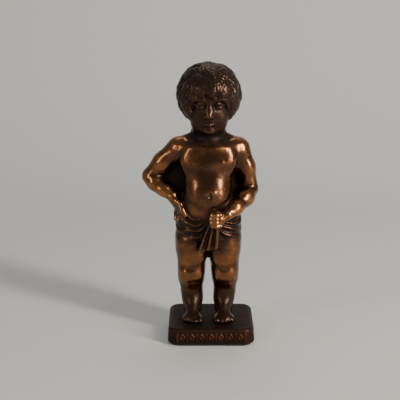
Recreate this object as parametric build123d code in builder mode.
from build123d import *
from math import radians, tan
import os

# A cast metal souvenir figurine: a standing toddler on a small plinth, in millimetres.
# The figure faces -Y, its left side is towards +X, and Z is up. The origin is the centre of
# the plinth's footprint, on the surface that the figurine stands on.
#
# It comes apart into a figure casting, a hollow plinth casting, two machine screws with their
# washers, which hold the figure down from below, and a thin foam pad that closes the plinth.
# A round spigot under each foot sits in a socket in the plinth's top, so the figure can't turn.

# Driving dimensions -----------------------------------------------------------------------
TOTAL_HEIGHT = 90.0
PLINTH_TOP = 5.8
PLINTH_WIDTH = 28.0
PLINTH_DEPTH = 25.5
PLINTH_CORNER = 4.0
PLINTH_DRAFT = 2.5
PLINTH_EDGE_ROUND = 0.7
PLINTH_WALL = 1.6
PLINTH_ROOF = 1.5

PAD_THICKNESS = 0.8
PAD_INSET = 0.7

ROUND = 0.5523  # the handle length that makes a Bezier quarter nearly elliptical

BODY_X = -0.9  # the body's middle line stands a little to the figure's right of centre

SPIGOT_RADIUS = 2.0
SPIGOT_LENGTH = 1.7
SPIGOT_ROOT = 1.0  # how far it runs up into the foot
SOCKET_DEPTH = 1.8
RUNNING_GAP = 0.05
BOSS_RADIUS = 3.4
BOSS_FLOOR = 1.1

SCREW_RADIUS = 1.0
SCREW_LENGTH = 8.0
SCREW_HEAD_RADIUS = 2.0
SCREW_HEAD_HEIGHT = 1.5
SCREW_HEAD_ROUND = 0.5
SCREW_TIP_CHAMFER = 0.25
SCREW_RECESS = (2.2, 0.5)  # each arm of the cross, its length and width
SCREW_RECESS_DEPTH = 0.9
SCREW_HOLE_RADIUS = 1.15
TAP_GAP = 0.03
TAP_SPARE_DEPTH = 0.8
WASHER_RADIUS = 2.3
WASHER_THICKNESS = 0.3

RELIEF_PITCH = 3.1
RELIEF_DIAMONDS = 7
RELIEF_DIAMOND_SIDE = 1.5
RELIEF_BAR_WIDTH = 0.5
RELIEF_BAR_HEIGHT = 2.3
RELIEF_BAR_ROUND = 0.24
RELIEF_PROUD = 0.3
RELIEF_ROOT = 0.8  # how far it runs back into the side

# Places worked out from them --------------------------------------------------------------
SOLE = PLINTH_TOP
SOCKET_FLOOR = PLINTH_TOP - SOCKET_DEPTH
BOSS_UNDERSIDE = SOCKET_FLOOR - BOSS_FLOOR
WASHER_UNDERSIDE = BOSS_UNDERSIDE - WASHER_THICKNESS
ANKLE_Y = 1.8
FOOT_X = {"right": BODY_X - 4.8, "left": BODY_X + 5.4}
FIXINGS = [(x, ANKLE_Y) for x in FOOT_X.values()]

os.makedirs("parts", exist_ok=True)


def limb(start, end, radii, domes):
    """A round limb from start to end, as one smooth surface of revolution.

    radii are (share of the length, radius) pairs from share 0 to share 1, and domes are how
    far its two rounded ends reach past those points.
    """
    axis = Vector(*end) - Vector(*start)
    length = axis.length
    first, last = radii[0][1], radii[-1][1]
    low, high = domes
    with BuildPart() as piece:
        with BuildSketch(Plane.XZ):
            with BuildLine():
                Bezier((0, -low), (ROUND * first, -low), (first, -ROUND * low), (first, 0))
                Spline(*[(r, share * length) for share, r in radii], tangents=[(0, 1), (0, 1)])
                Bezier(
                    (last, length),
                    (last, length + ROUND * high),
                    (ROUND * last, length + high),
                    (0, length + high),
                )
                Line((0, length + high), (0, -low))
            make_face()
        revolve(axis=Axis.Z)
    return Plane(origin=start, z_dir=axis).location * piece.part


def stacked(sections):
    """A smooth column through level ellipses, each (z, x, y, half width, half depth)."""
    with BuildPart() as piece:
        for z, x, y, half_width, half_depth in sections:
            with BuildSketch(Plane.XY.offset(z)):
                with Locations((x, y)):
                    Ellipse(half_width, half_depth)
        loft()
    return piece.part


def web(corners, front, back):
    """A thin sheet of metal that fills a gap: corners are (x, z), and it runs front to back."""
    with BuildPart() as piece:
        with BuildSketch(Plane.XZ.offset(-back)):
            with BuildLine():
                Polyline(*corners, close=True)
            make_face()
        extrude(amount=back - front)
    return piece.part


def foot(side_x, toe_x):
    """A bare foot, flat below, from the heel to the toes."""
    heel, toe = (side_x, 3.6, SOLE), (toe_x, -6.8, SOLE)
    shape = limb(heel, toe, [(0, 2.5), (0.3, 2.6), (0.7, 3.3), (1, 2.6)], domes=(1.2, 1.0))
    return split(shape, bisect_by=Plane.XY.offset(SOLE), keep=Keep.TOP, mode=Mode.PRIVATE)


# The figure casting -----------------------------------------------------------------------
# The sections of the trunk, neck and head, and of the cloth, from the bottom up, each as
# (z, x, y, half width, half depth).
TORSO = [
    (32.5, BODY_X, 1.0, 6.6, 3.6),
    (35.0, BODY_X, 1.4, 9.8, 5.6),
    (39.5, BODY_X, 1.2, 10.4, 6.6),
    (44.0, BODY_X, 0.0, 9.5, 6.7),
    (49.0, BODY_X, -0.5, 8.8, 6.7),
    (54.0, BODY_X, 0.4, 8.4, 5.9),
    (59.0, BODY_X, 1.2, 9.2, 5.4),
    (62.0, BODY_X, 1.8, 9.6, 4.6),
    (64.8, BODY_X, 1.9, 6.6, 4.0),
    (67.0, BODY_X, 1.4, 5.2, 4.4),
    (72.0, BODY_X, 0.4, 4.8, 4.4),
]
CLOTH = [
    (35.4, BODY_X, 1.2, 10.9, 6.8),
    (39.0, BODY_X, 1.0, 11.2, 7.4),
    (43.2, BODY_X, 0.3, 10.2, 7.2),
]
HAIR_RADIUS = 10.4
HAIR_CENTRE = (BODY_X, 0.5, TOTAL_HEIGHT - HAIR_RADIUS)
JAW, BROW = (BODY_X + 0.05, -2.4, 71.0), (BODY_X - 0.05, -3.0, 77.0)

with BuildPart() as figure_casting:
    add(stacked(TORSO))
    with Locations(HAIR_CENTRE):
        Sphere(HAIR_RADIUS)
    add(limb(JAW, BROW, [(0, 6.1), (0.5, 6.7), (1, 6.4)], domes=(3.6, 3.0)))

    # The shoulders, then the legs and feet.
    yoke = [(0, 3.0), (0.5, 4.0), (1, 3.0)]
    add(limb((-9.6, 1.8, 61.6), (7.8, 1.8, 61.6), yoke, domes=(1.5, 1.5)))
    leg = [(0, 2.9), (0.12, 2.9), (0.38, 4.0), (0.5, 3.8), (0.62, 4.3), (0.85, 5.2), (1, 5.0)]
    for side, turn_out in (("right", -1), ("left", 1)):
        ankle = (FOOT_X[side], ANKLE_Y + 0.6, SOLE + 1.2)
        hip = (BODY_X + turn_out * 5.3, 1.4, 38.5)
        add(limb(ankle, hip, leg, domes=(0.8, 1.5)))
        add(foot(FOOT_X[side], FOOT_X[side] + turn_out * 0.5))

    # The right arm is bent, with its hand on the hip.
    shoulder, elbow, wrist = (-11.0, 2.0, 61.4), (-19.6, 4.6, 51.3), (-12.2, -0.4, 44.4)
    add(limb(shoulder, elbow, [(0.0, 3.4), (0.5, 2.9), (1.0, 2.3)], domes=(2.9, 2.1)))
    add(limb(elbow, wrist, [(0.0, 2.2), (0.35, 2.5), (1.0, 1.7)], domes=(2.2, 1.0)))
    add(limb((-11.2, -1.4, 43.2), (-9.4, -3.0, 40.6), [(0, 2.0), (1, 2.1)], domes=(1.2, 1.4)))
    add(web([(-9.0, 60.5), (-12.5, 59.5), (-19.0, 51.0), (-12.5, 45.0), (-8.5, 44.0)], 1.6, 3.6))

    # The left arm is bent, with its hand in front, holding the cloth.
    shoulder, elbow, wrist = (9.0, 2.0, 61.2), (12.4, 2.4, 48.2), (5.4, -7.4, 42.3)
    add(limb(shoulder, elbow, [(0.0, 3.4), (0.5, 2.9), (1.0, 2.4)], domes=(2.9, 2.2)))
    add(limb(elbow, wrist, [(0.0, 2.3), (0.35, 2.5), (1.0, 1.8)], domes=(2.3, 1.0)))
    add(limb((3.9, -8.1, 41.9), (0.3, -8.7, 40.6), [(0, 1.9), (1, 2.3)], domes=(1.2, 1.5)))
    add(web([(7.0, 60.0), (9.5, 60.0), (12.4, 49.0), (7.0, 43.0)], 1.2, 3.2))

    # The web between the thighs, and the cloth round the hips with its short fall.
    add(web([(-5.5, 25.4), (3.7, 25.4), (4.0, 34.5), (-5.8, 34.5)], 0.6, 3.4))
    add(stacked(CLOTH))
    fall = [(0, 1.8), (0.6, 2.4), (1, 2.3)]
    add(limb((0.7, -6.9, 40.2), (-0.5, -5.2, 31.2), fall, domes=(0.8, 0.5)))

    # A spigot under each foot, with its tapped hole.
    for x, y in FIXINGS:
        with BuildSketch(Plane.XY.offset(SOLE - SPIGOT_LENGTH)):
            with Locations((x, y)):
                Circle(SPIGOT_RADIUS)
        extrude(amount=SPIGOT_LENGTH + SPIGOT_ROOT)
        with BuildSketch(Plane.XY.offset(SOLE - SPIGOT_LENGTH)):
            with Locations((x, y)):
                Circle(SCREW_RADIUS + TAP_GAP)
        thread_top = WASHER_UNDERSIDE + SCREW_LENGTH + TAP_SPARE_DEPTH
        extrude(amount=thread_top - SOLE + SPIGOT_LENGTH, mode=Mode.SUBTRACT)

figure_casting.part.label = "figure_casting"
export_step(figure_casting.part, "parts/figure_casting.step")

# The plinth casting -----------------------------------------------------------------------
with BuildPart() as plinth_casting:
    with BuildSketch(Plane.XY.offset(PAD_THICKNESS)):
        RectangleRounded(PLINTH_WIDTH, PLINTH_DEPTH, PLINTH_CORNER)
    extrude(amount=PLINTH_TOP - PAD_THICKNESS, taper=PLINTH_DRAFT)
    top_edges = plinth_casting.faces().sort_by(Axis.Z)[-1].edges()
    fillet(top_edges, radius=PLINTH_EDGE_ROUND)

    # A band of plain moulding along the front, which leans back with the draft.
    middle_z = (PAD_THICKNESS + PLINTH_TOP - PLINTH_EDGE_ROUND) / 2
    lean = (middle_z - PAD_THICKNESS) * tan(radians(PLINTH_DRAFT))
    with BuildSketch(Plane.XZ.offset(PLINTH_DEPTH / 2 - lean + RELIEF_PROUD)):
        with Locations((0, middle_z)):
            with GridLocations(RELIEF_PITCH, 0, RELIEF_DIAMONDS, 1):
                Rectangle(RELIEF_DIAMOND_SIDE, RELIEF_DIAMOND_SIDE, rotation=45)
            with GridLocations(RELIEF_PITCH, 0, RELIEF_DIAMONDS + 1, 1):
                RectangleRounded(RELIEF_BAR_WIDTH, RELIEF_BAR_HEIGHT, RELIEF_BAR_ROUND)
    extrude(amount=-(RELIEF_PROUD + RELIEF_ROOT))

    # It is hollow below, with a boss under each foot.
    with BuildSketch(Plane.XY.offset(PAD_THICKNESS)):
        RectangleRounded(
            PLINTH_WIDTH - 2 * PLINTH_WALL, PLINTH_DEPTH - 2 * PLINTH_WALL, PLINTH_CORNER - PLINTH_WALL
        )
    extrude(amount=PLINTH_TOP - PLINTH_ROOF - PAD_THICKNESS, mode=Mode.SUBTRACT)
    with BuildSketch(Plane.XY.offset(BOSS_UNDERSIDE)):
        with Locations(*FIXINGS):
            Circle(BOSS_RADIUS)
    extrude(until=Until.NEXT)
    with BuildSketch(Plane.XY.offset(SOCKET_FLOOR)):
        with Locations(*FIXINGS):
            Circle(SPIGOT_RADIUS + RUNNING_GAP)
    extrude(amount=SOCKET_DEPTH, mode=Mode.SUBTRACT)
    with BuildSketch(Plane.XY.offset(BOSS_UNDERSIDE)):
        with Locations(*FIXINGS):
            Circle(SCREW_HOLE_RADIUS)
    extrude(amount=BOSS_FLOOR, mode=Mode.SUBTRACT)

plinth_casting.part.label = "plinth_casting"
export_step(plinth_casting.part, "parts/plinth_casting.step")

# The two screws and their washers ---------------------------------------------------------
with BuildPart() as fixing_screws:
    head_bottom = WASHER_UNDERSIDE - SCREW_HEAD_HEIGHT
    with Locations(*[(x, y, WASHER_UNDERSIDE) for x, y in FIXINGS]):
        Cylinder(SCREW_RADIUS, SCREW_LENGTH, align=(Align.CENTER, Align.CENTER, Align.MIN))
        Cylinder(
            SCREW_HEAD_RADIUS, SCREW_HEAD_HEIGHT, align=(Align.CENTER, Align.CENTER, Align.MAX)
        )
    rims = fixing_screws.edges().filter_by(GeomType.CIRCLE).group_by(Axis.Z)
    fillet(rims[0], radius=SCREW_HEAD_ROUND)
    chamfer(rims[-1], length=SCREW_TIP_CHAMFER)
    with BuildSketch(Plane.XY.offset(head_bottom)):
        with Locations(*FIXINGS):
            Rectangle(*SCREW_RECESS)
            Rectangle(*SCREW_RECESS, rotation=90)
    extrude(amount=SCREW_RECESS_DEPTH, mode=Mode.SUBTRACT)

fixing_screws.part.label = "fixing_screws"
export_step(fixing_screws.part, "parts/fixing_screws.step")

with BuildPart() as screw_washers:
    with BuildSketch(Plane.XY.offset(WASHER_UNDERSIDE)):
        with Locations(*FIXINGS):
            Circle(WASHER_RADIUS)
            Circle(SCREW_HOLE_RADIUS, mode=Mode.SUBTRACT)
    extrude(amount=WASHER_THICKNESS)

screw_washers.part.label = "screw_washers"
export_step(screw_washers.part, "parts/screw_washers.step")

# The foam pad that closes the plinth ------------------------------------------------------
with BuildPart() as base_pad:
    with BuildSketch():
        RectangleRounded(
            PLINTH_WIDTH - 2 * PAD_INSET, PLINTH_DEPTH - 2 * PAD_INSET, PLINTH_CORNER - PAD_INSET
        )
    extrude(amount=PAD_THICKNESS)

base_pad.part.label = "base_pad"
export_step(base_pad.part, "parts/base_pad.step")
